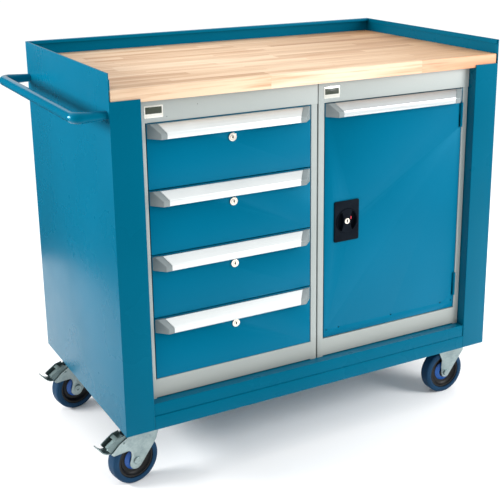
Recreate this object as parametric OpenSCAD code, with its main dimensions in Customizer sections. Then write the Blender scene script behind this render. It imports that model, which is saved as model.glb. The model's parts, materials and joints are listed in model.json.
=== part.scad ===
// Mobile workbench: a folded steel frame on casters with a hardwood top, a cabinet of
// four drawers and a cabinet with one hinged door, side by side.
// Units are millimetres. The bench stands on z = 0 and faces -Y, and its origin is the
// middle of its bounding box on the floor.

/* [Frame] */
// Width over the two side panels
bench_w = 1066.8; // [1040:0.1:1200]
// Depth from the post faces to the back panel
bench_d = 609.6; // [600:0.1:760]
// Height of the side panels, rim included
panel_h = 852; // [830:1:900]
// Thickness of the hardwood top
top_t = 32; // [25:1:40]
// Height of the rim above the top
rim_h = 36.4; // [20:0.1:80]
// Thickness of the frame's sheet steel
sheet = 2; // [1.5:0.5:3]

/* [Cabinets] */
// Width of each cabinet
cab_w = 457.2; // [440:0.1:457.2]
// Height of each cabinet
cab_h = 714; // [700:1:714]
// Depth of each cabinet
cab_d = 560; // [540:1:570]
// How far the cabinets stand behind the post faces
cab_y = 27; // [24:1:40]
// Width of the stiles beside the opening
stile_w = 16; // [14:1:22]
// Height of the skirt below the opening
skirt_h = 49.3; // [40:0.1:60]
// Height of the header above the opening
header_h = 48.7; // [40:0.1:60]

/* [Pulls] */
// How far a pull stands out from its front
pull_out = 24; // [18:1:24]
// Height of a pull
pull_h = 33.5; // [30:0.5:36]
// Height of a pull's upright nose
nose_h = 12.7; // [8:0.1:16]

/* [Handle] */
// Diameter of the handle tube
handle_d = 25.4; // [20:0.1:32]
// How far the handle stands out from the side panel
handle_reach = 83; // [70:1:110]
// Height of the handle's centre above the foot of the side panel
handle_h = 760; // [600:1:780]

/* [Casters] */
// Height from the floor to the top of the caster plates
caster_h = 163; // [158:1:175]
// Wheel diameter over the tread
wheel_d = 125; // [110:1:125]
// Tread width
wheel_w = 32; // [28:1:36]
// Trail of the swivel casters, from the kingpin to the axle
trail = 38; // [36:1:42]
// How far the swivel casters stand turned, in degrees
swivel_turn = 10; // [-20:1:20]

/* [Hidden] */
$fn = 64;

// Colours
paint = [0.0, 0.50, 0.66];
shell_grey = [0.78, 0.82, 0.81];
maple = [0.90, 0.76, 0.58];
bare_aluminium = [0.88, 0.89, 0.90];
cap_grey = [0.70, 0.72, 0.73];
zinc = [0.72, 0.75, 0.74];
nickel = [0.80, 0.78, 0.72];
rubber_blue = [0.12, 0.26, 0.48];
nylon_black = [0.06, 0.06, 0.07];

// Play between neighbouring sheets, and between a running pin and its bore
play = 0.2;
pin_play = 0.05;

// Frame levels, from the floor up
rail_t = 3;
base_z = caster_h;
rail_top_z = base_z + rail_t;
tray_z = base_z + 66;
rim_z = base_z + panel_h;
top_z = rim_z - rim_h;
rail_step_z = base_z + 34;

// Frame plan
cab_gap = 4.4;
side_gap = 2;
post_w = (bench_w - 2 * cab_w - cab_gap) / 2 - side_gap;
post_return = 30;
post_lap = 7.4;
rear_flange = 30;
hem = 12;
hem_notch = 5;
back_flange = 12;
rail_inset = 24;
rail_w = 150;

// Cabinets
cab_t = 1.5;
cab_z = tray_z + play;
lip = 14;
skirt_lift = 2.5;
header_step = 1;
open_z0 = cab_z + skirt_h;
open_z1 = cab_z + cab_h - header_h;
open_w = cab_w - 2 * stile_w;
function cab_x(i) = post_w + side_gap + i * (cab_w + cab_gap);

// Drawers, counted from the top
drawers = 4;
pitch = (open_z1 - open_z0) / drawers;
reveal = 2.6;
side_reveal = 2.4;
front_w = open_w - 2 * side_reveal;
front_h = pitch - reveal;
front_t = 18;
box_t = 1.2;
box_d = cab_d - front_t - 22;
box_w = cab_w - 62;
box_h = front_h - 31;
box_lift = 6;
runner_h = 24;
runner_reach = 13.5;
runner_lift = 28;
rail_play = 0.5;
front_x = cab_x(0) + stile_w + side_reveal;
function front_z(k) = open_z1 - k * pitch + reveal / 2;
lock_drop = 53;
lock_r = 10;
barrel_r = 9;
barrel_l = 15;
plug_r = 5.5;

// Pulls
pull_t = 2;
pull_flat = 6;
pull_drop = 1.4;
cap_face_w = 19.5;
cap_nose_w = 15;
cap_splay = 25;

// Door
door_gap = 1.8;
door_x = cab_x(1) + stile_w + side_reveal;
door_w = open_w - side_reveal - door_gap;
door_z = open_z0 + 3;
door_h = open_z1 - 2 - door_z;
hinge_r = 3.5;
hinge_pin_r = 2;
hinge_l = 64;
hinge_x = cab_x(1) + cab_w - stile_w - 4.3;
hinge_y = cab_y - hinge_r;
hinge_zs = [base_z + 155.5, base_z + 628];
hinge_notch = 7.5;
door_hole_xs = [-203, -165, 0, 165, 203];
door_hole_r = 2;
door_hole_up = 20;

// Door latch
latch_x = door_x + 64.4;
latch_z = base_z + 425;
latch_w = 73;
latch_h = 106;
latch_t = 3.5;
knob_r = 31;
knob_lift = 1.5;
knob_depth = 9;
shaft_r = 8;
cylinder_r = 7.5;
cam_y = cab_y + front_t + 1;
cam_t = 3;
cam_l = 72;

// Casters: wheel plans and heights
wheel_r = wheel_d / 2;
fork_t = 2.5;
fork_gap = wheel_w + 4;
fork_out = fork_gap / 2 + fork_t;
axle_r = 6;
plate_l = 105;
plate_w = 85;
plate_t = 3;
plate_hole_x = 40;
plate_hole_y = 31;
bolt_r = 4;
bolt_play = 0.2;
kingpin_r = 5;
crown_t = 4.7;
crown_z = caster_h - 13;
swivel_x = 78;
rigid_x = bench_w - 60;
rigid_axle_x = rigid_x - 17;
swivel_ys = [83, bench_d - 83];
rigid_ys = [83, bench_d - 83];
pedal_w = fork_gap - 2;
pedal_t = 2.5;
pedal_pin = [-34, 58.4];
pedal_pin_r = 3;

// The bench's own frame, from its left side and post faces
centre_x = (bench_w - handle_reach) / 2;
module place() {
    translate([-centre_x, -bench_d / 2, 0]) children();
}

// A cylinder along +Y that starts at the given point
module rod_y(r, from, h) {
    translate(from) rotate([-90, 0, 0]) cylinder(r = r, h = h);
}

// A box between two corners
module block(low, high) {
    translate(low) cube(high - low);
}

// ---------------------------------------------------------------- frame

// Side panel with its front post and rim, drawn for the left side
module side_panel() {
    foot = rail_top_z + play;
    head = top_z - top_t - play;
    color(paint) {
        block([0, 0, base_z], [sheet, bench_d, rim_z]);
        block([0, 0, base_z], [post_w, sheet, top_z - top_t + post_lap]);
        block([post_w - sheet, 0, foot], [post_w, post_return, head]);
        block([0, bench_d - 2 * sheet, foot], [rear_flange, bench_d - sheet, head]);
        block([0, hem_notch, rim_z - hem], [2 * sheet, bench_d - 2 * sheet, rim_z]);
        block([0, 0, top_z + play], [2 * sheet, hem, rim_z - hem - 1]);
    }
}

module left_side_panel() {
    place() side_panel();
}

module right_side_panel() {
    place() translate([bench_w, 0, 0]) mirror([1, 0, 0]) side_panel();
}

// Back panel with a rolled-over top edge
module back_panel() {
    inner = 2 * sheet + play;
    front = bench_d - sheet - back_flange;
    color(paint) place() {
        block([sheet, bench_d - sheet, base_z], [bench_w - sheet, bench_d, rim_z]);
        block([inner, front, rim_z - sheet], [bench_w - inner, bench_d, rim_z]);
        block([inner, front, rim_z - 8], [bench_w - inner, front + sheet, rim_z]);
    }
}

// Hole for a caster bolt at each corner of a plate whose centre is at the origin
module plate_corners() {
    for (sx = [-1, 1], sy = [-1, 1])
        translate([sx * plate_hole_x, sy * plate_hole_y, 0]) children();
}

module caster_bolt_holes() {
    for (y = swivel_ys) translate([swivel_x, y, 0])
        plate_corners() cylinder(r = bolt_r + bolt_play, h = base_z + 10);
    for (y = rigid_ys) translate([rigid_x, y, 0])
        plate_corners() cylinder(r = bolt_r + bolt_play, h = base_z + 10);
}

module front_base_rail() {
    color(paint) place() difference() {
        union() {
            block([rail_inset, sheet + play, base_z], [bench_w - rail_inset, rail_w, rail_top_z]);
            block([post_w + 0.4, play, base_z], [bench_w - post_w - 0.4, rail_w, rail_top_z]);
            block([post_w + 0.4, play, base_z],
                  [bench_w - post_w - 0.4, play + sheet, rail_step_z]);
        }
        caster_bolt_holes();
    }
}

module rear_base_rail() {
    back = bench_d - sheet - play;
    color(paint) place() difference() {
        union() {
            block([rail_inset, bench_d - rail_w, base_z], [bench_w - rail_inset, back, rail_top_z]);
            block([rear_flange + 2, back - sheet, base_z],
                  [bench_w - rear_flange - 2, back, rail_step_z]);
        }
        caster_bolt_holes();
    }
}

// Tray that the cabinets stand on, with lips turned down all round
module base_tray() {
    x0 = sheet + play;
    x1 = bench_w - x0;
    front = sheet + 2 * play;
    back = bench_d - 2 * sheet - 2 * play;
    turn = post_return + 2 * play;
    lip_z = tray_z - 46;
    color(paint) place() {
        block([x0, turn, tray_z - sheet], [x1, back, tray_z]);
        block([post_w + 0.4, front, tray_z - sheet], [bench_w - post_w - 0.4, turn + 1, tray_z]);
        block([post_w + 0.4, front, lip_z], [bench_w - post_w - 0.4, front + sheet, tray_z]);
        block([rear_flange + 2, back - sheet, lip_z],
              [bench_w - rear_flange - 2, back, tray_z]);
        block([x0, turn, lip_z + 20], [x0 + sheet, back, tray_z]);
        block([x1 - sheet, turn, lip_z + 20], [x1, back, tray_z]);
    }
}

module worktop() {
    color(maple) place()
        block([2 * sheet + play, sheet + 1, top_z - top_t],
              [bench_w - 2 * sheet - play, bench_d - sheet - play, top_z]);
}

// Handle tube: two legs drawn in towards the panel, two bends and a bar
module handle_rod(r) {
    bend = 16;
    leg_draw = 2.7;
    leg_y = 19;
    bar_x = handle_reach - handle_d / 2;
    leg = bar_x - bend;
    for (y = [leg_y, bench_d - leg_y])
        translate([0, y, 0]) rotate([0, -90, 0]) cylinder(r1 = r - leg_draw, r2 = r, h = leg);
    translate([-leg, leg_y + bend, 0]) rotate([0, 0, 180])
        rotate_extrude(angle = 90) translate([bend, 0]) circle(r);
    translate([-leg, bench_d - leg_y - bend, 0]) rotate([0, 0, 90])
        rotate_extrude(angle = 90) translate([bend, 0]) circle(r);
    rod_y(r, [-bar_x, leg_y + bend, 0], bench_d - 2 * (leg_y + bend));
}

module push_handle() {
    color(paint) place() translate([0, 0, base_z + handle_h]) difference() {
        handle_rod(handle_d / 2);
        handle_rod(handle_d / 2 - 2);
    }
}

// ---------------------------------------------------------------- cabinets

// Cabinet housing: folded sheet with an open front, a header plate and a skirt
module cabinet(i) {
    w = cab_w - 2 * cab_t;
    d = cab_d - 2 * cab_t;
    color(shell_grey) place() translate([cab_x(i), cab_y, cab_z]) {
        difference() {
            cube([cab_w, cab_d, cab_h]);
            translate([cab_t, cab_t, skirt_h]) cube([w, d, cab_h - skirt_h - cab_t]);
            translate([cab_t, cab_t, -1]) cube([w, d, skirt_h - cab_t + 1]);
            translate([stile_w, -1, skirt_h]) cube([open_w, cab_t + 2, open_z1 - open_z0]);
            translate([stile_w, -1, -1]) cube([open_w, cab_t + 2, skirt_lift + 1]);
        }
        block([-header_step, -header_step, cab_h - header_h],
              [cab_w + header_step, 0.2, cab_h]);
        block([stile_w - cab_t, 0, skirt_h], [stile_w, lip, cab_h - header_h]);
        block([cab_w - stile_w, 0, skirt_h], [cab_w - stile_w + cab_t, lip, cab_h - header_h]);
        block([stile_w - cab_t, 0, cab_h - header_h],
              [cab_w - stile_w + cab_t, lip, cab_h - header_h + cab_t]);
    }
}

module drawer_cabinet() {
    cabinet(0);
}

module door_cabinet() {
    cabinet(1);
}

// Channel fixed to a cabinet wall, open towards the drawer, drawn at the left wall
module slide_channel(z) {
    wall_x = cab_x(0) + cab_t;
    deep = cab_w / 2 - box_w / 2 - cab_t - 1.5;
    tall = runner_h + 2 * rail_play;
    low = [wall_x, cab_y + front_t + 4, z - rail_play - cab_t];
    translate(low) difference() {
        cube([deep, cab_d - front_t - 12, tall + 2 * cab_t]);
        translate([cab_t, -1, cab_t]) cube([deep, cab_d, tall]);
    }
}

module drawer_slides() {
    color(zinc) place() for (k = [1:drawers]) {
        slide_channel(front_z(k) + runner_lift);
        translate([2 * cab_x(0) + cab_w, 0, 0]) mirror([1, 0, 0])
            slide_channel(front_z(k) + runner_lift);
    }
}

// Shelf with folded edges
module cabinet_shelf() {
    w = cab_w - 2 * cab_t - 2;
    fold = 20;
    front = 45;
    d = cab_d - front - cab_t - 1;
    z = (open_z0 + open_z1) / 2;
    color(shell_grey) place() translate([cab_x(1) + cab_t + 1, cab_y + front, z]) difference() {
        cube([w, d, fold]);
        translate([cab_t, cab_t, -1]) cube([w - 2 * cab_t, d - 2 * cab_t, fold - cab_t + 1]);
    }
}

module name_plates() {
    color("white") place() for (i = [0, 1])
        translate([cab_x(i) + 14, cab_y - header_step - 1, open_z1 + 10.5]) cube([45, 1, 28]);
}

// ---------------------------------------------------------------- drawers

module drawer_body(k) {
    inner = front_w - 2 * cab_t;
    side = (front_w - box_w) / 2;
    color(paint) place() translate([front_x, cab_y, front_z(k)]) difference() {
        union() {
            difference() {
                cube([front_w, front_t, front_h]);
                translate([cab_t, cab_t, cab_t]) cube([inner, front_t, front_h - 2 * cab_t]);
            }
            block([side, front_t - box_t, 0.5], [front_w - side, front_t, front_h - 0.5]);
            block([side, front_t - box_t, box_lift],
                  [front_w - side, front_t + box_d, box_lift + box_h]);
            for (x = [side - runner_reach, side + box_w])
                block([x, front_t, runner_lift],
                      [x + runner_reach, front_t + box_d, runner_lift + runner_h]);
        }
        block([side + box_t, front_t, box_lift + box_t],
              [side + box_w - box_t, front_t + box_d - box_t, front_h]);
        for (x = [side - runner_reach + cab_t, side + box_w])
            block([x, front_t - 1, runner_lift + cab_t],
                  [x + runner_reach - cab_t, front_t + box_d + 1, runner_lift + runner_h - cab_t]);
        rod_y(barrel_r, [front_w / 2, -1, front_h - lock_drop], cab_t + 2);
    }
}

// Side outline of a pull, in front of the face and up from its foot
module pull_outline(solid) {
    difference() {
        polygon([[0, 0.6], [0, pull_h], [-pull_flat, pull_h], [-pull_out, nose_h],
                 [-pull_out, 0], [-pull_out + pull_t, 0]]);
        if (!solid)
            polygon([[-pull_t, -1], [-pull_t, pull_h - pull_t],
                     [-pull_flat + 0.8, pull_h - pull_t],
                     [-pull_out + pull_t, nose_h - 1], [-pull_out + pull_t, -1]]);
    }
}

// The outline run along +X over a front of the standard width
module pull_bar(solid) {
    rotate([90, 0, 90]) linear_extrude(front_w) pull_outline(solid);
}

// Aluminium pull, cut on a slant at both ends to take its caps
module pull() {
    nose = cap_splay + cap_nose_w;
    intersection() {
        pull_bar(false);
        translate([0, 0, -1]) linear_extrude(pull_h + 2)
            polygon([[cap_face_w, 0], [front_w - cap_face_w, 0],
                     [front_w - nose, -pull_out], [nose, -pull_out]]);
    }
}

module pull_cap() {
    nose = cap_splay + cap_nose_w;
    intersection() {
        pull_bar(true);
        translate([0, 0, -1]) linear_extrude(pull_h + 2)
            polygon([[0.6, 0], [cap_face_w, 0], [nose, -pull_out], [cap_splay, -pull_out]]);
    }
}

module pull_caps() {
    pull_cap();
    translate([front_w, 0, 0]) mirror([1, 0, 0]) pull_cap();
}

module drawer_pull(k) {
    color(bare_aluminium) place()
        translate([front_x, cab_y, front_z(k) + front_h - pull_drop - pull_h]) pull();
}

module drawer_pull_caps(k) {
    color(cap_grey) place()
        translate([front_x, cab_y, front_z(k) + front_h - pull_drop - pull_h]) pull_caps();
}

// Lock housing: a ring on the front and a barrel behind it
module drawer_lock(k) {
    color(nickel) place() translate([front_x + front_w / 2, cab_y, front_z(k) + front_h - lock_drop])
        difference() {
            union() {
                rod_y(lock_r, [0, -3, 0], 3);
                rod_y(barrel_r - pin_play, [0, 0, 0], barrel_l);
            }
            rod_y(plug_r, [0, -4, 0], barrel_l + 1);
        }
}

// Key plug with its slot
module key_plug(r, front, length) {
    difference() {
        rod_y(r, [0, front, 0], length);
        translate([-0.7, front - 1, -r * 0.7]) cube([1.4, 4, r * 1.4]);
    }
}

module drawer_plug(k) {
    color(nickel) place() translate([front_x + front_w / 2, cab_y, front_z(k) + front_h - lock_drop])
        key_plug(plug_r - pin_play, -3.6, barrel_l);
}

// ---------------------------------------------------------------- door

module hinge_notches() {
    for (z = hinge_zs)
        block([door_x + door_w - hinge_notch, cab_y - 1, z - 0.5],
              [door_x + door_w + 1, cab_y + front_t + 1, z + hinge_l + 0.5]);
}

module door_panel() {
    color(paint) place() difference() {
        block([door_x, cab_y, door_z], [door_x + door_w, cab_y + front_t, door_z + door_h]);
        block([door_x + cab_t, cab_y + cab_t, door_z + cab_t],
              [door_x + door_w - cab_t, cab_y + front_t + 1, door_z + door_h - cab_t]);
        hinge_notches();
        rod_y(knob_r + 1.5, [latch_x, cab_y - 1, latch_z], cab_t + 2);
        for (x = door_hole_xs)
            rod_y(door_hole_r, [door_x + door_w / 2 + x, cab_y - 1, door_z + door_hole_up],
                  cab_t + 2);
    }
}

module door_pull() {
    color(bare_aluminium) place()
        translate([door_x, cab_y, door_z + door_h - pull_h]) pull();
}

module door_pull_caps() {
    color(cap_grey) place()
        translate([door_x, cab_y, door_z + door_h - pull_h]) pull_caps();
}

// Upper knuckles, with leaves behind the door's skin
module door_hinges() {
    half = hinge_l / 2;
    color(paint) place() for (z = hinge_zs) translate([hinge_x, hinge_y, z + half + 0.3])
        difference() {
            union() {
                cylinder(r = hinge_r, h = half - 0.3);
                block([-3.5, 0, 0], [-1.5, hinge_r + cab_t + 2, half - 0.3]);
                block([-28, hinge_r + cab_t, 0], [-1.5, hinge_r + cab_t + 2, half - 0.3]);
            }
            translate([0, 0, -1]) cylinder(r = hinge_pin_r + pin_play, h = hinge_l);
        }
}

// Lower knuckles with their pins, and leaves beside the stile's lip
module cabinet_hinges() {
    half = hinge_l / 2;
    color(paint) place() for (z = hinge_zs) translate([hinge_x, hinge_y, z]) {
        cylinder(r = hinge_r, h = half);
        cylinder(r = hinge_pin_r, h = hinge_l - 0.5);
        block([2.7, 0, 0], [4.3, hinge_r + lip - 1, half]);
    }
}

// Flat plate with round corners, its back on the door's face
module latch_outline(w, h, r) {
    square([w - 2 * r, h], center = true);
    square([w, h - 2 * r], center = true);
    for (sx = [-1, 1], sy = [-1, 1])
        translate([sx * (w / 2 - r), sy * (h / 2 - r)]) circle(r);
}

module latch_plate() {
    color(nylon_black) place() translate([latch_x, cab_y, latch_z]) difference() {
        rotate([90, 0, 0]) linear_extrude(latch_t) latch_outline(latch_w, latch_h, 4);
        rod_y(knob_r + 0.3, [0, -latch_t - 1, 0], latch_t + 2);
    }
}

// Round knob sunk in its plate, with two curved finger hollows and a shaft
module latch_knob() {
    front = -latch_t - knob_lift;
    arc_r = 52.4;
    arc_x = 62;
    color(nylon_black) place() translate([latch_x, cab_y, latch_z]) difference() {
        union() {
            rod_y(knob_r, [0, front, 0], knob_depth - front);
            rod_y(shaft_r, [0, 0, 0], front_t + 1 + cam_t + 3);
        }
        for (s = [-1, 1]) intersection() {
            rod_y(knob_r - 1.5, [0, front - 1, 0], knob_depth - front - 1);
            rod_y(arc_r, [s * arc_x, front - 1, 0], knob_depth - front - 1);
        }
        rod_y(cylinder_r + pin_play, [0, front - 1, 0], 13);
    }
}

// Cam on the knob's shaft, hanging down when the latch is open
module latch_cam() {
    color(zinc) place() translate([latch_x, cam_y, latch_z]) difference() {
        union() {
            rod_y(14, [0, 0, 0], cam_t);
            block([-10, 0, -cam_l], [10, cam_t, 0]);
        }
        rod_y(shaft_r, [0, -1, 0], cam_t + 2);
    }
}

module latch_cylinder() {
    color(nickel) place() translate([latch_x, cab_y, latch_z])
        key_plug(cylinder_r, -latch_t - knob_lift - 1.5, 13);
}

// ---------------------------------------------------------------- casters

// Caster parts below are drawn about the axle, with +X towards the kingpin

// Takes a swivel caster's parts to its kingpin, turned
module swivel(y) {
    place() translate([swivel_x, y, wheel_r]) rotate([0, 0, swivel_turn])
        translate([-trail, 0, 0]) children();
}

// Side outline of a swivel fork: crown, leg and toe
module swivel_fork_outline() {
    corner = [-25, 23.5];
    crown = crown_z - wheel_r;
    difference() {
        union() {
            translate([-3, -4]) circle(17);
            polygon([[-20, -6], [-15, 16], [-15, 33.5], [-63, 33.5], [-69, 39], [-46, 58.5],
                     [-8, 77], [trail - 30, crown], [trail + 30, crown], [63, 62], [55.7, 40.3],
                     [46, 27.4], [11, -14]]);
            difference() {
                translate(corner) square(10);
                translate(corner) circle(10);
            }
        }
        circle(axle_r + pin_play);
        translate(pedal_pin) circle(pedal_pin_r + pin_play);
    }
}

module swivel_fork(y) {
    crown = crown_z - wheel_r;
    color(zinc) swivel(y) difference() {
        union() {
            for (s = [-fork_gap / 2, fork_out])
                translate([0, s, 0]) rotate([90, 0, 0]) linear_extrude(fork_t)
                    swivel_fork_outline();
            block([trail - 30, -fork_out, crown - fork_t], [trail + 30, fork_out, crown]);
            translate([trail, 0, crown]) cylinder(r = 34, h = crown_t);
        }
        translate([trail, 0, crown - 10]) cylinder(r = kingpin_r + pin_play, h = 20);
    }
}

// Axle bolt with a hexagon head and nut outside the fork
module axle_bolt() {
    rod_y(axle_r, [0, -fork_out - 5, 0], 2 * fork_out + 10);
    for (y = [-fork_out - 5.5, fork_out])
        translate([0, y, 0]) rotate([-90, 0, 0]) cylinder(r = 9, h = 5.5, $fn = 6);
}

module swivel_axle(y) {
    color(zinc) swivel(y) axle_bolt();
}

// A strip of sheet between two points of an outline, with round ends
module strip(a, b, t) {
    run = b - a;
    translate(a) rotate(atan2(run[1], run[0])) {
        translate([0, -t / 2]) square([norm(run), t]);
        circle(t / 2);
        translate([norm(run), 0]) circle(t / 2);
    }
}

// Brake pedal: a channel with a raised tread and crossbar, a turned-up lip and two stub pins
module brake_pedal(y) {
    top = [-26, 66];
    knee = [-68, 41.5];
    heel = [-79, 43.5];
    toe = [-89, 50];
    tip = [-96, 59.5];
    flange_t = 2.5;
    slope = atan2(top[1] - knee[1], top[0] - knee[0]);
    color(zinc) swivel(y) {
        translate([0, pedal_w / 2, 0]) rotate([90, 0, 0]) linear_extrude(pedal_w) {
            strip(top, knee, pedal_t);
            strip(knee, heel, pedal_t);
            strip(heel, toe, pedal_t);
        }
        translate([0, pedal_w / 2 - 4, 0]) rotate([90, 0, 0]) linear_extrude(pedal_w - 8)
            strip(toe, tip, pedal_t);
        for (s = [-pedal_w / 2 + flange_t, pedal_w / 2])
            translate([0, s, 0]) rotate([90, 0, 0]) linear_extrude(flange_t) {
                polygon([knee, [-78, 54], [-74, 57.5], [-46, 73.5], [-28, 76], top]);
                translate(pedal_pin) circle(4.5);
            }
        translate([knee[0], 0, knee[1]]) rotate([0, -slope, 0]) {
            block([2, -8.5, 0], [30, 8.5, 8]);
            block([26, -pedal_w / 2 + 1, 9], [36, pedal_w / 2 - 1, 14]);
            block([28, -8.5, 0], [34, 8.5, 13]);
        }
        for (s = [-1, 1])
            rod_y(pedal_pin_r, [pedal_pin[0], s * (pedal_w / 2 + 1) - 2.5, pedal_pin[1]], 5);
    }
}

// Top plates of the swivel casters, with raceway and kingpin
module swivel_plates() {
    color(zinc) place() for (y = swivel_ys) translate([swivel_x, y, 0]) {
        difference() {
            translate([-plate_l / 2, -plate_w / 2, caster_h - plate_t])
                cube([plate_l, plate_w, plate_t]);
            plate_corners() cylinder(r = bolt_r + bolt_play, h = base_z + 10);
        }
        translate([0, 0, crown_z + crown_t + 0.3])
            cylinder(r = 30, h = caster_h - plate_t - crown_z - crown_t - 0.3);
        translate([0, 0, crown_z - 8]) cylinder(r = kingpin_r, h = caster_h - crown_z + 5);
        translate([0, 0, crown_z - 8]) cylinder(r = 9, h = 5.2);
    }
}

// Fixed casters: plate and legs in one piece
module rigid_fork_outline() {
    top = caster_h - wheel_r - plate_t;
    difference() {
        union() {
            circle(14);
            polygon([[-14, 0], [-16, 20], [-14, 41], [-24, 63], [-28, top], [64, top],
                     [60, 57], [45, 38], [12, -7]]);
        }
        circle(axle_r + pin_play);
    }
}

module rigid_forks() {
    color(zinc) place() for (y = rigid_ys) {
        translate([rigid_axle_x, y, wheel_r]) for (s = [-fork_gap / 2, fork_out])
            translate([0, s, 0]) rotate([90, 0, 0]) linear_extrude(fork_t) rigid_fork_outline();
        translate([rigid_x, y, 0]) difference() {
            translate([-plate_l / 2, -plate_w / 2, caster_h - plate_t])
                cube([plate_l, plate_w, plate_t]);
            plate_corners() cylinder(r = bolt_r + bolt_play, h = base_z + 10);
        }
    }
}

module rigid_axles() {
    color(zinc) place() for (y = rigid_ys) translate([rigid_axle_x, y, wheel_r]) axle_bolt();
}

// Hexagon bolts that hold all four casters, with nuts above the rails
module caster_bolt() {
    cylinder(r = bolt_r, h = rail_t + plate_t + 12);
    translate([0, 0, -5.5]) cylinder(r = 7.5, h = 5.5, $fn = 6);
    translate([0, 0, rail_t + plate_t]) cylinder(r = 7.5, h = 6.5, $fn = 6);
}

module caster_bolts() {
    color(zinc) place() translate([0, 0, caster_h - plate_t]) {
        for (y = swivel_ys) translate([swivel_x, y, 0]) plate_corners() caster_bolt();
        for (y = rigid_ys) translate([rigid_x, y, 0]) plate_corners() caster_bolt();
    }
}

// Moulded wheel centre, turned about its axle
module wheel() {
    rim_r = wheel_r - 14.5;
    hub_w = fork_gap - 1.2;
    rim_w = wheel_w - 4;
    color(nylon_black) rotate([90, 0, 0])
        rotate_extrude() difference() {
            union() {
                translate([axle_r + pin_play, -hub_w / 2]) square([10, hub_w]);
                translate([axle_r + 4, -6]) square([rim_r - axle_r - 4, 12]);
                translate([rim_r - 6, -rim_w / 2]) square([6, rim_w]);
            }
        }
}

// Rubber tyre with rounded shoulders
module tyre() {
    rim_r = wheel_r - 14.5;
    shoulder = 6;
    half = wheel_w / 2;
    color(rubber_blue) rotate([90, 0, 0])
        rotate_extrude() {
            translate([rim_r, -half]) square([wheel_r - rim_r - shoulder, wheel_w]);
            translate([rim_r, -half + shoulder])
                square([wheel_r - rim_r, wheel_w - 2 * shoulder]);
            for (s = [-1, 1])
                translate([wheel_r - shoulder, s * (half - shoulder)]) circle(shoulder);
        }
}

// Takes a fixed caster's wheel to its axle
module rigid(y) {
    place() translate([rigid_axle_x, y, wheel_r]) children();
}

// ---------------------------------------------------------------- nodes

left_side_panel();
right_side_panel();
back_panel();
front_base_rail();
rear_base_rail();
base_tray();
worktop();
push_handle();
drawer_cabinet();
door_cabinet();
drawer_slides();
cabinet_shelf();
cabinet_hinges();
name_plates();
caster_bolts();
swivel_plates();
rigid_forks();
rigid_axles();
swivel_fork(swivel_ys[0]);  // front_swivel_fork
swivel_axle(swivel_ys[0]);  // front_swivel_axle
brake_pedal(swivel_ys[0]);  // front_brake_pedal
swivel_fork(swivel_ys[1]);  // rear_swivel_fork
swivel_axle(swivel_ys[1]);  // rear_swivel_axle
brake_pedal(swivel_ys[1]);  // rear_brake_pedal
swivel(swivel_ys[0]) wheel();  // front_left_wheel
swivel(swivel_ys[1]) wheel();  // rear_left_wheel
rigid(rigid_ys[0]) wheel();  // front_right_wheel
rigid(rigid_ys[1]) wheel();  // rear_right_wheel
swivel(swivel_ys[0]) tyre();  // front_left_tyre
swivel(swivel_ys[1]) tyre();  // rear_left_tyre
rigid(rigid_ys[0]) tyre();  // front_right_tyre
rigid(rigid_ys[1]) tyre();  // rear_right_tyre
door_panel();
door_pull();
door_pull_caps();
door_hinges();
latch_plate();
latch_knob();
latch_cam();
latch_cylinder();
for (k = [1:drawers]) {
    drawer_body(k);
    drawer_pull(k);
    drawer_pull_caps(k);
    drawer_lock(k);
    drawer_plug(k);
}
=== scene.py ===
"""Looks of the mobile workbench: finishes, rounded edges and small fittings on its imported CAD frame.

Lengths are metres in the row frame: X to the right, Y to the back, Z up from the floor.
Profiles and half sizes that are given in millimetres say so.
"""

import json
import math

import bmesh
import bpy
from mathutils import Matrix, Vector


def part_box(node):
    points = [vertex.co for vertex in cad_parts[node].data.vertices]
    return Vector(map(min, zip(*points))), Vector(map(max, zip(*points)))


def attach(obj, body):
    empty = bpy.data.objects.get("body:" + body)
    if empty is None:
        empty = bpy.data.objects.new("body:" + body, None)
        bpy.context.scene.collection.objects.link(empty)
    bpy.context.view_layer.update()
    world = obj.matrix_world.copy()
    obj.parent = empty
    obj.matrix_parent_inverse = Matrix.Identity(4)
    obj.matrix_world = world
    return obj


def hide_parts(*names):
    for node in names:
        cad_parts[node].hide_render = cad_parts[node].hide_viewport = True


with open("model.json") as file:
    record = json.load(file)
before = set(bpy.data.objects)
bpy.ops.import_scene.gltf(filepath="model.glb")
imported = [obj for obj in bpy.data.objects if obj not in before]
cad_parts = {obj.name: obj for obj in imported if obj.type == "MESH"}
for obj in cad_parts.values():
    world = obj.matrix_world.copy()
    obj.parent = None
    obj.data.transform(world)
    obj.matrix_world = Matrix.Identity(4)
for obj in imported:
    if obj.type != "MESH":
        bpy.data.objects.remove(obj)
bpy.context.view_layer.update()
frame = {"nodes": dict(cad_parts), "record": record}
nodes = frame["nodes"]
MM = 0.001
WHITE = (1.0, 1.0, 1.0, 1.0)


# ---------------------------------------------------------------- material building blocks


def srgb(*display):
    """A colour given as 0 to 255 display values, as linear RGBA."""
    shares = [value / 255 for value in display]
    return (*[s / 12.92 if s <= 0.04045 else ((s + 0.055) / 1.055) ** 2.4 for s in shares], 1.0)


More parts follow.
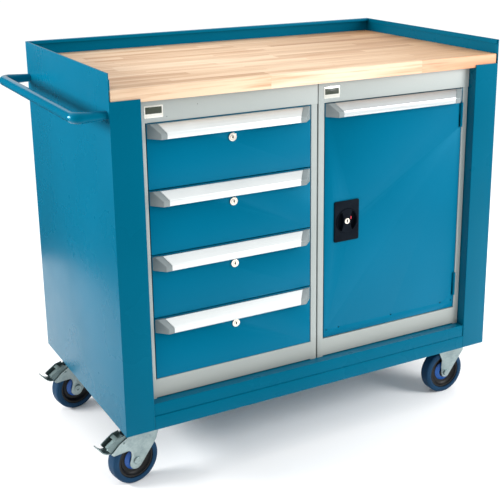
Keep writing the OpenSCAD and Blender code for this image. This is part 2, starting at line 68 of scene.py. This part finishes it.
class Finish:
    """A Principled material, with short calls for the texture nodes that drive it."""

    def __init__(self, name, **sockets):
        self.material = bpy.data.materials.new(name)
        self.material.use_nodes = True
        self.tree = self.material.node_tree
        self.shader = self.tree.nodes["Principled BSDF"]
        for socket, value in sockets.items():
            self.shader.inputs[socket.replace("_", " ")].default_value = value
        self.place = self.tree.nodes.new("ShaderNodeTexCoord").outputs["Object"]

    def node(self, kind, inputs=None, **settings):
        made = self.tree.nodes.new(kind)
        for key, value in settings.items():
            setattr(made, key, value)
        for key, value in (inputs or {}).items():
            if isinstance(value, bpy.types.NodeSocket):
                self.tree.links.new(value, made.inputs[key])
            else:
                made.inputs[key].default_value = value
        return made

    def axes(self, vector):
        """The X, Y and Z parts of a vector."""
        return self.node("ShaderNodeSeparateXYZ", {"Vector": vector}).outputs

    def math(self, operation, *values):
        return self.node("ShaderNodeMath", dict(enumerate(values)), operation=operation).outputs[0]

    def stretched(self, scale, vector=None):
        """A vector scaled along each axis: the object's own coordinates unless another is given."""
        return self.node("ShaderNodeMapping", {"Vector": vector or self.place, "Scale": scale}).outputs[0]

    def noise(self, scale, detail=3.0, roughness=0.55, vector=None):
        inputs = {"Vector": vector or self.place, "Scale": scale, "Detail": detail, "Roughness": roughness}
        return self.node("ShaderNodeTexNoise", inputs).outputs["Fac"]

    def ramp(self, factor, *stops):
        """Colours or grey values along a factor: stops are (place, value)."""
        made = self.node("ShaderNodeValToRGB", {"Fac": factor})
        points = made.color_ramp.elements
        while len(points) < len(stops):
            points.new(0.5)
        for point, (place, value) in zip(points, stops):
            point.position = place
            point.color = value if hasattr(value, "__len__") else (value, value, value, 1.0)
        return made.outputs["Color"]

    def mix(self, factor, first, second, blend="MIX"):
        inputs = {0: factor, 6: first, 7: second}
        return self.node("ShaderNodeMix", inputs, data_type="RGBA", blend_type=blend).outputs[2]

    def times(self, first, second, factor=1.0):
        """One colour multiplied by another, in full or in part."""
        return self.mix(factor, first, second, "MULTIPLY")

    def drive(self, **sockets):
        for socket, source in sockets.items():
            self.tree.links.new(source, self.shader.inputs[socket.replace("_", " ")])

    def bump(self, height, distance, strength=1.0):
        inputs = {"Height": height, "Distance": distance, "Strength": strength}
        self.drive(Normal=self.node("ShaderNodeBump", inputs).outputs["Normal"])


def powder_coat(name, low, high, gloss, grain, depth, tint=WHITE, index=1.5, foot=None):
    """Powder coat: slow drifts of tone, a fine orange peel and slightly uneven gloss.

    A foot is a colour that the paint is multiplied by near the floor: partly dust, partly painted shade.
    """
    look = Finish(name, IOR=index, Specular_Tint=tint)
    drift = look.noise(2.3, 2.0)
    fleck = look.noise(grain * 1.7, 2.0)
    tone = look.math("MULTIPLY_ADD", fleck, 0.35, look.math("MULTIPLY", drift, 0.65))
    colour = look.ramp(tone, (0.36, low), (0.64, high))
    if foot:
        # Darker near the floor: partly dust, partly painted shade.
        height = look.axes(look.place)["Z"]
        colour = look.times(colour, look.ramp(height, (0.23, foot), (0.30, 1.0)))
    look.drive(Base_Color=colour)
    look.drive(Roughness=look.ramp(look.noise(7.0, 3.0), (0.3, gloss - 0.03), (0.7, gloss + 0.04)))
    look.bump(look.noise(grain, 2.5), depth)
    return look.material


def hardwood(name):
    """Butcher block: glued staves along X, each with its own tone and grain, and fine glue lines."""
    look = Finish(name, IOR=1.45)
    stave_w, stave_l = 0.031, 0.43
    row_shift, grain_shift = 9.0, (7.0, 7.0, 7.0)
    glue_line = 0.00022

    # Which stave a point is on
    axes = look.axes(look.place)
    across = look.math("DIVIDE", look.math("ADD", axes["Y"], 1.0), stave_w)
    row = look.math("FLOOR", across)
    shift = look.node("ShaderNodeTexWhiteNoise", {"W": row}, noise_dimensions="1D").outputs["Value"]
    along = look.math("DIVIDE", axes["X"], stave_l)
    along = look.math("ADD", along, look.math("MULTIPLY", shift, row_shift))
    key = look.node("ShaderNodeCombineXYZ", {"X": row, "Y": look.math("FLOOR", along)}).outputs[0]
    own = look.node("ShaderNodeTexWhiteNoise", {"Vector": key}, noise_dimensions="2D").outputs

    # The stave's own tone, then broad figure and fine pores, drawn out along X
    inputs = {0: own["Color"], 1: grain_shift}
    away = look.node("ShaderNodeVectorMath", inputs, operation="MULTIPLY").outputs[0]
    shifted = look.node("ShaderNodeVectorMath", {0: look.place, 1: away}, operation="ADD").outputs[0]
    fine = look.noise(1.0, 5.0, 0.6, look.stretched((4.0, 150.0, 150.0), shifted))
    broad = look.noise(1.0, 3.0, 0.6, look.stretched((2.2, 34.0, 34.0), shifted))
    tone = look.ramp(
        own["Value"],
        (0.0, srgb(203, 168, 133)),
        (0.3, srgb(222, 191, 158)),
        (0.7, srgb(231, 202, 170)),
        (1.0, srgb(240, 215, 186)),
    )
    tone = look.times(tone, look.ramp(broad, (0.30, srgb(206, 170, 134)), (0.52, WHITE)), 0.68)
    tone = look.times(tone, look.ramp(fine, (0.34, srgb(190, 150, 112)), (0.47, WHITE)), 0.38)

    # Glue lines
    edge = look.math("MULTIPLY", look.math("PINGPONG", across, 0.5), stave_w)
    end = look.math("MULTIPLY", look.math("PINGPONG", along, 0.5), stave_l)
    joint = look.math("LESS_THAN", look.math("MINIMUM", edge, end), glue_line)
    tone = look.mix(look.math("MULTIPLY", joint, 0.35), tone, srgb(150, 110, 75))

    # Darker towards both ends and warmer at the right end; the top is painted darker than the edges by the
    # way each faces, as painted shade on the top and painted light on the edges
    span = look.math("MULTIPLY_ADD", axes["X"], 0.94, 0.5)
    warmth = look.ramp(
        span,
        (0.0, (0.80, 0.78, 0.78, 1.0)),
        (0.34, (0.98, 0.98, 0.98, 1.0)),
        (0.6, (1.0, 0.99, 0.98, 1.0)),
        (1.0, (0.76, 0.62, 0.46, 1.0)),
    )
    tone = look.times(tone, warmth)
    # Painted light: faces are toned by which way they point, the top darker and the edges lighter.
    facing = look.axes(look.node("ShaderNodeTexCoord").outputs["Normal"])["Z"]
    upper = look.times(tone, (0.93, 0.90, 0.86, 1.0))
    edges = look.times(tone, look.ramp(span, (0.3, 1.0), (1.0, (0.95, 0.80, 0.84, 1.0))))
    look.drive(Base_Color=look.mix(facing, edges, upper))
    look.drive(Roughness=look.ramp(fine, (0.3, 0.56), (0.7, 0.42)))
    look.bump(fine, 0.00012, 0.5)
    return look.material


def brushed(name, low, high, gloss, streaks, depth, cloud=9.0):
    """Bare metal with fine drawn lines, given as noise scales along each axis."""
    look = Finish(name, Metallic=1.0)
    lines = look.noise(1.0, 4.0, 0.6, look.stretched(streaks))
    patch = look.noise(cloud, 3.0)
    tone = look.math("MULTIPLY_ADD", lines, 0.5, look.math("MULTIPLY", patch, 0.5))
    look.drive(Base_Color=look.ramp(tone, (0.35, low), (0.65, high)))
    look.drive(Roughness=look.ramp(tone, (0.3, gloss + 0.06), (0.7, gloss - 0.05)))
    look.bump(lines, depth, 0.6)
    return look.material


def moulded(name, low, high, gloss, grain, depth, index=1.48):
    """Moulded plastic or rubber with a fine eroded grain."""
    look = Finish(name, IOR=index)
    tone = look.noise(18.0, 4.0)
    look.drive(Base_Color=look.ramp(tone, (0.35, low), (0.68, high)))
    look.drive(Roughness=look.ramp(look.noise(55.0, 3.0), (0.3, gloss - 0.05), (0.7, gloss + 0.07)))
    look.bump(look.noise(grain, 3.0), depth)
    return look.material


def zinc(name, low, high):
    """Zinc plate over pressed sheet: a cool grey-green bloom, cloudy gloss and faint drawing marks."""
    look = Finish(name, Metallic=0.85)
    cloud = look.noise(26.0, 4.0, 0.6)
    marks = look.noise(1.0, 3.0, 0.5, look.stretched((60.0, 900.0, 260.0)))
    tone = look.math("MULTIPLY_ADD", marks, 0.25, look.math("MULTIPLY", cloud, 0.75))
    look.drive(Base_Color=look.ramp(tone, (0.34, low), (0.66, high)))
    look.drive(Roughness=look.ramp(cloud, (0.3, 0.46), (0.7, 0.34)))
    look.bump(marks, 0.00006, 0.5)
    return look.material


# ---------------------------------------------------------------- finishes

# The fronts and the frame wear one teal paint; the frame's copy is darker, as painted shade.
FRONT_TEAL = srgb(0, 93, 123), srgb(0, 99, 131)
FRAME_TEAL_SHADED = srgb(0, 83, 108), srgb(0, 90, 117)
GREY = srgb(150, 158, 156), srgb(158, 165, 163)
# Grey paint near the floor is multiplied by this: partly dust, partly painted shade.
GREY_FOOT_DUST_AND_SHADE = (0.76, 0.73, 0.70, 1.0)
TEAL_SHEEN = (0.0, 0.45, 0.7, 1.0)
# Noise scales along X, Y and Z for lines that run along X, and for turned and polished parts
DRAWN, FACED, POLISHED = (3.0, 900.0, 900.0), (500.0, 30.0, 500.0), (900.0, 40.0, 40.0)

finishes = {
    "frame_paint": powder_coat(
        "teal_powder_coat_frame_shaded", *FRAME_TEAL_SHADED, 0.28, 620.0, 0.000012, tint=TEAL_SHEEN, index=1.28
    ),
    "front_paint": powder_coat(
        "teal_powder_coat_fronts", *FRONT_TEAL, 0.36, 700.0, 0.000015, tint=TEAL_SHEEN, index=1.32
    ),
    "cabinet_paint": powder_coat("grey_powder_coat", *GREY, 0.46, 900.0, 0.00005, foot=GREY_FOOT_DUST_AND_SHADE),
    "worktop_wood": hardwood("maple_staves"),
    "pull_aluminium": brushed(
        "satin_anodised", srgb(208, 213, 213), srgb(222, 226, 226), 0.33, DRAWN, 0.00002
    ),
    "cap_plastic": moulded(
        "grey_cap_plastic", srgb(112, 122, 124), srgb(124, 133, 134), 0.48, 1500.0, 0.00003
    ),
    "zinc_plate": zinc("zinc_plating", srgb(134, 150, 152), srgb(168, 183, 182)),
    "lock_nickel": brushed(
        "nickel_lock", srgb(214, 208, 196), srgb(228, 223, 213), 0.22, FACED, 0.00001, cloud=60.0
    ),
    "latch_plastic": moulded(
        "black_latch_plastic", srgb(8, 14, 22), srgb(15, 22, 30), 0.5, 1300.0, 0.00004, index=1.12
    ),
    "name_plate": brushed(
        "polished_plate", srgb(226, 226, 216), srgb(238, 238, 230), 0.16, POLISHED, 0.00001, cloud=60.0
    ),
    "wheel_nylon": moulded(
        "black_nylon", srgb(11, 11, 12), srgb(19, 18, 18), 0.42, 1100.0, 0.00004, index=1.36
    ),
    "tyre_rubber": moulded(
        "blue_elastic_rubber", srgb(4, 46, 74), srgb(9, 55, 86), 0.55, 700.0, 0.00005, index=1.28
    ),
}
tube_paint = powder_coat("teal_powder_coat_tube", *FRAME_TEAL_SHADED, 0.15, 620.0, 0.000005, tint=TEAL_SHEEN)
# The door's pull takes a darker copy of the satin aluminium, as painted shade.
door_aluminium_shaded = brushed(
    "satin_anodised_door_shaded", srgb(186, 192, 193), srgb(198, 203, 204), 0.33, DRAWN, 0.00002
)
pedal_zinc = zinc("zinc_plating_pedal", srgb(86, 103, 104), srgb(120, 137, 137))
guard_blue = moulded("blue_guard_plastic", srgb(8, 78, 158), srgb(14, 88, 170), 0.34, 1200.0, 0.00003)
red_mark = moulded("red_mark", srgb(190, 22, 48), srgb(206, 32, 58), 0.35, 900.0, 0.00002)
# Near-black for keyholes and small holes: painted shade inside them.
hole_shade = moulded("painted_hole_shade", srgb(12, 13, 11), srgb(20, 21, 18), 0.8, 900.0, 0.00002, index=1.1)
dark_field = moulded("dark_enamel", srgb(40, 48, 38), srgb(56, 64, 50), 0.22, 600.0, 0.00002)


# ---------------------------------------------------------------- CAD nodes: finish and rounded edges

slot_of = {part["node"]: part["material_slot"] for part in frame["record"]["subparts"]}
# Nodes whose finish is not their slot's usual one
OWN_FINISH = {
    "push_handle": tube_paint,
    # The back panel takes the fronts' lighter copy of the teal, as painted light for the reflection on it.
    "back_panel": finishes["front_paint"],
    "door_panel": finishes["front_paint"],
    "front_brake_pedal": pedal_zinc,
    "rear_brake_pedal": pedal_zinc,
}
# Radius of the rounded edges, in millimetres, by the end of the node's name
ROUNDED = {
    "worktop": 1.6,
    "_side_panel": 0.8,
    "back_panel": 0.8,
    "_base_rail": 0.7,
    "base_tray": 0.7,
    "_cabinet": 0.55,
    "cabinet_shelf": 0.5,
    "name_plates": 0.3,
    "door_panel": 0.6,
    "_body": 0.45,
    "_caps": 1.1,
    "_lock": 0.7,
    "_plug": 0.25,
    "latch_plate": 1.2,
    "latch_knob": 0.7,
    "latch_cylinder": 0.5,
    "latch_cam": 0.5,
    "_fork": 0.7,
    "rigid_forks": 0.7,
    "_pedal": 0.7,
    "swivel_plates": 0.7,
    "_axle": 0.7,
    "rigid_axles": 0.7,
    "caster_bolts": 0.5,
    "_wheel": 0.9,
}
WELD_REACH = 0.00001
FLAT_ANGLE, EDGE_ANGLE = math.radians(1), math.radians(32)


def round_edges(obj, radius):
    """Joins facets that only touch, merges the flat ones, then rounds the sharper edges."""
    weld = obj.modifiers.new("weld", "WELD")
    weld.merge_threshold = WELD_REACH
    flat = obj.modifiers.new("flat", "DECIMATE")
    flat.decimate_type = "DISSOLVE"
    flat.angle_limit = FLAT_ANGLE
    bevel = obj.modifiers.new("round", "BEVEL")
    bevel.width = radius * MM
    bevel.segments = 3
    bevel.limit_method = "ANGLE"
    bevel.angle_limit = EDGE_ANGLE
    bevel.harden_normals = True
    bevel.use_clamp_overlap = True


for name, node in nodes.items():
    node.data.materials.clear()
    node.data.materials.append(OWN_FINISH.get(name) or finishes[slot_of[name]])
    node.data.polygons.foreach_set("use_smooth", [True] * len(node.data.polygons))
    radius = next((size for end, size in ROUNDED.items() if name.endswith(end)), None)
    if radius:
        round_edges(node, radius)


# ---------------------------------------------------------------- mesh helpers


def piece(name, verts, faces, material, body, smooth_angle=30.0):
    """A mesh object made from points and faces, smoothed below the given angle, that rides on a body."""
    mesh = bpy.data.meshes.new(name)
    mesh.from_pydata([tuple(v) for v in verts], [], faces)
    shape = bmesh.new()
    shape.from_mesh(mesh)
    bmesh.ops.recalc_face_normals(shape, faces=shape.faces)
    shape.to_mesh(mesh)
    shape.free()
    mesh.polygons.foreach_set("use_smooth", [True] * len(mesh.polygons))
    mesh.set_sharp_from_angle(angle=math.radians(smooth_angle))
    mesh.materials.append(material)
    obj = bpy.data.objects.new(name, mesh)
    bpy.context.scene.collection.objects.link(obj)
    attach(obj, body)
    return obj


def middle(name):
    low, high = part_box(name)
    return (low + high) / 2


def millimetres(profile):
    return [(first * MM, second * MM) for first, second in profile]


def turned(profile, centre, axis, side=1.0, steps=72):
    """Points and faces of a closed profile, turned about a level axis.

    The profile's points are (radius, distance along the axis).
    """
    up = Vector((0.0, 0.0, 1.0))
    across = up.cross(axis)
    verts, faces = [], []
    for i in range(steps):
        angle = 2 * math.pi * i / steps
        outward = across * math.cos(angle) + up * math.sin(angle)
        verts += [Vector(centre) + outward * radius + axis * (side * along) for radius, along in profile]
    count = len(profile)
    for i in range(steps):
        here, ahead = i * count, (i + 1) % steps * count
        for j in range(count):
            k = (j + 1) % count
            faces.append((here + j, here + k, ahead + k, ahead + j))
    return verts, faces


def arc(centre, radius, start, end, steps):
    """Points of a plane arc, its angles in degrees."""
    angles = [math.radians(start + (end - start) * i / steps) for i in range(steps + 1)]
    return [(centre[0] + radius * math.cos(a), centre[1] + radius * math.sin(a)) for a in angles]


def lofted(outline, rows):
    """Points and faces that join copies of an outline.

    The rows are functions from an outline point to a place.
    """
    verts = [row(point) for row in rows for point in outline]
    count = len(outline)
    faces = []
    for i in range(len(rows) - 1):
        here, ahead = i * count, (i + 1) * count
        for j in range(count):
            k = (j + 1) % count
            faces.append((here + j, here + k, ahead + k, ahead + j))
    faces.append(tuple(range(count)))
    faces.append(tuple(range((len(rows) - 1) * count, len(rows) * count)))
    return verts, faces


# ---------------------------------------------------------------- pulls

# Section of a pull as (out, up) in millimetres: a flat top, a slope and a rounded nose that turns under
PULL_DEPTH = 24.0
PULL_OUTSIDE = [
    (0.0, 0.6),
    (0.0, 33.2),
    (0.4, 33.5),
    (5.0, 33.5),
    *arc((5.2, 31.5), 2.0, 80, 42, 3),
    *arc((18.6, 12.6), 5.4, 42, 4, 8),
    (PULL_DEPTH, 11.0),
    (PULL_DEPTH, 5.0),
    (23.6, 2.6),
    (22.9, 0.6),
    (22.2, 0.0),
    (21.0, 0.5),
]
PULL_INSIDE = [(22.0, 4.0), (22.0, 11.0), (17.6, 14.6), (5.4, 31.3), (2.0, 31.3), (2.0, 0.6)]
# How far the slanted ends lie inside the front's edge, in millimetres, at its face and at the nose
FACE_SHIFT, NOSE_SHIFT = 19.5, 40.0


def pull(front, body, material):
    """The extruded pull of a front, cut on a slant at both ends to meet its caps."""
    low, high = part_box(f"{front}_pull")
    width = high.x - low.x + 2 * FACE_SHIFT * MM
    start = low.x - FACE_SHIFT * MM
    centre = start + width / 2

    def place(point, share, mirrored):
        """Where a section point lies, moved towards the middle of the pull by a share of the way."""
        out, up = point
        inset = (FACE_SHIFT + (NOSE_SHIFT - FACE_SHIFT) * out / PULL_DEPTH) * MM
        x = start + (width - inset if mirrored else inset)
        return (x + (centre - x) * share, high.y - out * MM, low.z + up * MM)

    rows = [lambda p, s=s: place(p, s, False) for s in (0.0, 0.02, 0.5)]
    rows += [lambda p, s=s: place(p, s, True) for s in (1.0, 0.5, 0.02, 0.0)]
    verts, faces = lofted(PULL_OUTSIDE + PULL_INSIDE, rows)
    obj = piece(f"{front}_pull_profile", verts, faces, material, body, 24.0)
    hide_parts(f"{front}_pull")


for k in range(1, 5):
    pull(f"drawer_{k}", f"drawer_{k}", finishes["pull_aluminium"])
pull("door", "door", door_aluminium_shaded)


# ---------------------------------------------------------------- wheels

# Sections as (radius, distance from the wheel's middle) in millimetres, for one side
GUARD = [
    (16.4, 6.2), (27.6, 6.2), (27.6, 7.2), (26.8, 7.9), (20.4, 12.6), (19.4, 13.4), (17.0, 13.7), (16.4, 13.0)
]
RIM_STEP = [(36.0, 6.0), (42.4, 6.0), (42.4, 11.0), (41.2, 11.7), (39.4, 8.6)]
WALL_BEAD = [(49.5, 15.4), (56.2, 15.2), (56.0, 16.3), (54.8, 16.8), (52.6, 16.9), (50.4, 16.4)]
# Half of a riveted axle, its head dished
RIVET = [
    (0.4, 22.6), (4.6, 22.9), (6.0, 24.4), (7.6, 24.5), (8.8, 23.4), (9.1, 22.0), (9.1, 21.05), (6.0, 21.05)
]
WHEEL_DETAILS = (
    ("guard", GUARD, guard_blue, "tyre_rubber"),
    ("rim_step", RIM_STEP, finishes["wheel_nylon"], "wheel_nylon"),
    ("wall_bead", WALL_BEAD, finishes["tyre_rubber"], "tyre_rubber"),
)
axle_of = {joint["child"]: Vector(joint["axis"]) for joint in frame["record"]["behaviour"]["joints"]}

for wheel in ("front_left", "rear_left", "front_right", "rear_right"):
    hub, body = middle(f"{wheel}_wheel"), f"{wheel}_wheel_set"
    for label, side in (("outer", -1.0), ("inner", 1.0)):
        for part, profile, material, slot in WHEEL_DETAILS:
            verts, faces = turned(millimetres(profile), hub, axle_of[body], side)
            piece(f"{wheel}_{part}_{label}", verts, faces, material, body)

for end in ("front", "rear"):
    rivet = RIVET + [(radius, -along) for radius, along in reversed(RIVET)]
    verts, faces = turned(millimetres(rivet), middle(f"{end}_swivel_axle"), axle_of[f"{end}_left_wheel_set"])
    obj = piece(f"{end}_riveted_axle", verts, faces, finishes["zinc_plate"], f"{end}_swivel")
    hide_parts(f"{end}_swivel_axle")


# ---------------------------------------------------------------- keyholes, latch mark and header holes


def lens(name, centre, half_w, half_h, rise, material, body, steps=36):
    """A flat oval with a domed face towards -Y, its half sizes and rise in millimetres."""
    rings = ((1.0, 0.0), (0.96, 0.55), (0.8, 0.85), (0.5, 1.0))
    verts, faces = [], []
    for share, lift in rings:
        for i in range(steps):
            angle = 2 * math.pi * i / steps
            across, up = half_w * share * math.cos(angle), half_h * share * math.sin(angle)
            verts.append(Vector(centre) + Vector((across, -rise * lift, up)) * MM)
    for ring in range(len(rings) - 1):
        here, ahead = ring * steps, (ring + 1) * steps
        for i in range(steps):
            j = (i + 1) % steps
            faces.append((here + i, here + j, ahead + j, ahead + i))
    faces.append(tuple(range(steps)))
    faces.append(tuple(range((len(rings) - 1) * steps, len(rings) * steps)))
    return piece(name, verts, faces, material, body)


def keyhole(name, plug, half_w, half_h, body):
    """A dark oval on the face of a key plug, painted shade that stands in for the keyhole, its half sizes in
    millimetres.
    """
    centre = middle(plug)
    face_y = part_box(plug)[0].y
    lens(name, (centre.x, face_y, centre.z), half_w, half_h, 0.2, hole_shade, body)


knob, knob_face_y = middle("latch_knob"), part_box("latch_knob")[0].y
mark = (knob.x + 11.6 * MM, knob_face_y + 1.2 * MM, knob.z + 6.9 * MM)
lens("latch_red_mark", mark, 1.8, 4.2, 1.0, red_mark, "latch")

for k in range(1, 5):
    keyhole(f"drawer_{k}_keyhole", f"drawer_{k}_plug", 1.9, 3.3, f"drawer_{k}_key_plug")

# Two small holes in the header plate of the drawer cabinet, drawn as dark ovals of painted shade
header_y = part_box("drawer_cabinet")[0].y + 0.1 * MM
for label, x, z in (("upper", -0.2753, 0.9253), ("lower", -0.3504, 0.9047)):
    lens(f"header_hole_{label}", (x, header_y, z), 1.9, 1.9, 0.1, hole_shade, "frame")

keyhole("latch_keyhole", "latch_cylinder", 2.0, 3.4, "latch_key_plug")


# ---------------------------------------------------------------- blank name plates

PLATE_HALF_W, PLATE_RADIUS = 22.5 * MM, 2 * MM
FIELD_HALF_W, FIELD_HALF_H, FIELD_RADIUS = 19.6 * MM, 7.6 * MM, 1.2 * MM
# How far the dark field's middle lies above the plate's
FIELD_RISE = 2.6 * MM


def rounded_outline(half_w, half_h, radius, steps=6):
    points = []
    for sx, sz, start in ((1, 1, 0), (-1, 1, 90), (-1, -1, 180), (1, -1, 270)):
        points += arc((sx * (half_w - radius), sz * (half_h - radius)), radius, start, start + 90, steps)
    return points


def badge(name, centre, half_w, half_h, face_y, back_y, material, radius):
    """A thin plate with round corners and a crowned face, its back on a panel."""
    rim = 0.35 * MM

    def ring(share, y):
        return lambda p: (
            centre[0] + p[0] * (1 - share * rim / half_w),
            y,
            centre[1] + p[1] * (1 - share * rim / half_h),
        )

    depths = ((0.0, back_y), (0.0, face_y + rim * 0.7), (0.35, face_y + rim * 0.2), (1.0, face_y))
    rows = [ring(share, y) for share, y in depths]
    verts, faces = lofted(rounded_outline(half_w, half_h, radius), rows)
    return piece(name, verts, faces, material, "frame")


plates_low, plates_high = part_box("name_plates")
plate_half_h = (plates_high.z - plates_low.z) / 2
for label, x in (("left", plates_low.x + PLATE_HALF_W), ("right", plates_high.x - PLATE_HALF_W)):
    z = plates_low.z + plate_half_h
    front_y, back_y = plates_low.y, plates_high.y
    base = badge(
        f"plate_rim_{label}", (x, z), PLATE_HALF_W, plate_half_h,
        front_y + 0.3 * MM, back_y, finishes["name_plate"], PLATE_RADIUS,
    )
    badge(
        f"plate_field_{label}", (x, z + FIELD_RISE), FIELD_HALF_W, FIELD_HALF_H,
        front_y + 0.02 * MM, front_y + 0.6 * MM, dark_field, FIELD_RADIUS,
    )
    if label == "left":
        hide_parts("name_plates")


# ---------------------------------------------------------------- floor and reflection card


def matt_sheet(name, verts, faces, look_name, cloud, low, high):
    """A flat sheet of the studio, in a matt grey between two values."""
    mesh = bpy.data.meshes.new(name)
    mesh.from_pydata(verts, [], faces)
    sheet = bpy.data.objects.new(name, mesh)
    bpy.context.scene.collection.objects.link(sheet)
    look = Finish(look_name, Roughness=0.9, Specular_IOR_Level=0.1)
    look.drive(Base_Color=look.ramp(look.noise(cloud, 2.0), (0.3, low), (0.7, high)))
    mesh.materials.append(look.material)
    return sheet


REACH = 40.0
FLOOR_CORNERS = [(-REACH, -REACH, 0), (REACH, -REACH, 0), (REACH, REACH, 0), (-REACH, REACH, 0)]
floor = matt_sheet("floor", FLOOR_CORNERS, [(0, 1, 2, 3)], "pale_floor", 0.7, 0.94, 0.95)

# Dark card beyond the left end, seen only in reflections: it lies on the floor and turns up at its far edge
CARD_CORNERS = [
    (-4.1, -0.25, 0.004),
    (1.5, 2.35, 0.004),
    (-1.0, 9.6, 0.004),
    (-7.2, 6.8, 0.004),
    (-1.2, 10.0, 7.0),
    (-7.4, 7.2, 7.0),
]
cards = matt_sheet("dark_cards", CARD_CORNERS, [(0, 1, 2, 3), (3, 2, 4, 5)], "dark_card", 0.9, 0.02, 0.03)
cards.visible_camera = cards.visible_diffuse = cards.visible_shadow = False


# ---------------------------------------------------------------- light and camera


def softbox(name, place, target, size, power):
    """A square area light of a size in metres and a power in watts, aimed at a target."""
    light = bpy.data.lights.new(name, "AREA")
    light.shape = "RECTANGLE"
    light.size = light.size_y = size
    light.energy = power
    obj = bpy.data.objects.new(name, light)
    obj.location = place
    obj.rotation_euler = (Vector(target) - Vector(place)).to_track_quat("-Z", "Y").to_euler()
    bpy.context.scene.collection.objects.link(obj)


softbox("key_right", place=(1.55, -1.75, 1.35), target=(0.25, -0.3, 0.8), size=0.9, power=40)
softbox("side_left", place=(-2.3, 0.6, 1.35), target=(-0.5, 0, 2.6), size=1.0, power=122)

# White sky, brighter overhead than at the horizon
HORIZON, OVERHEAD = 0.7, 1.35
world = bpy.data.worlds.new("studio")
bpy.context.scene.world = world
world.use_nodes = True
studio = world.node_tree
sky = studio.nodes["Background"]
sky.inputs["Color"].default_value = WHITE
way = studio.nodes.new("ShaderNodeTexCoord")
parts = studio.nodes.new("ShaderNodeSeparateXYZ")
glow = studio.nodes.new("ShaderNodeMapRange")
for value, socket in ((0.0, "From Min"), (1.0, "From Max"), (HORIZON, "To Min"), (OVERHEAD, "To Max")):
    glow.inputs[socket].default_value = value
studio.links.new(way.outputs["Generated"], parts.inputs[0])
studio.links.new(parts.outputs["Z"], glow.inputs["Value"])
studio.links.new(glow.outputs[0], sky.inputs["Strength"])

CAMERA_PLACE = (-1.20808, -2.31263, 1.3534)
azimuth, elevation, roll = math.radians(29.65), math.radians(16.43), math.radians(-0.22)
camera = bpy.data.objects.new("camera", bpy.data.cameras.new("camera"))
bpy.context.scene.collection.objects.link(camera)
camera.data.lens = 72.72
camera.data.sensor_width = 36.0
camera.data.shift_x = -0.0704
camera.data.shift_y = -0.0963
camera.data.clip_end = 200.0
level = math.cos(elevation)
forward = Vector((math.sin(azimuth) * level, math.cos(azimuth) * level, -math.sin(elevation)))
turn = forward.to_track_quat("-Z", "Y").to_matrix().to_4x4()
camera.matrix_world = Matrix.Translation(CAMERA_PLACE) @ turn @ Matrix.Rotation(roll, 4, "Z")
bpy.context.scene.camera = camera
bpy.context.scene.view_settings.view_transform = "Standard"
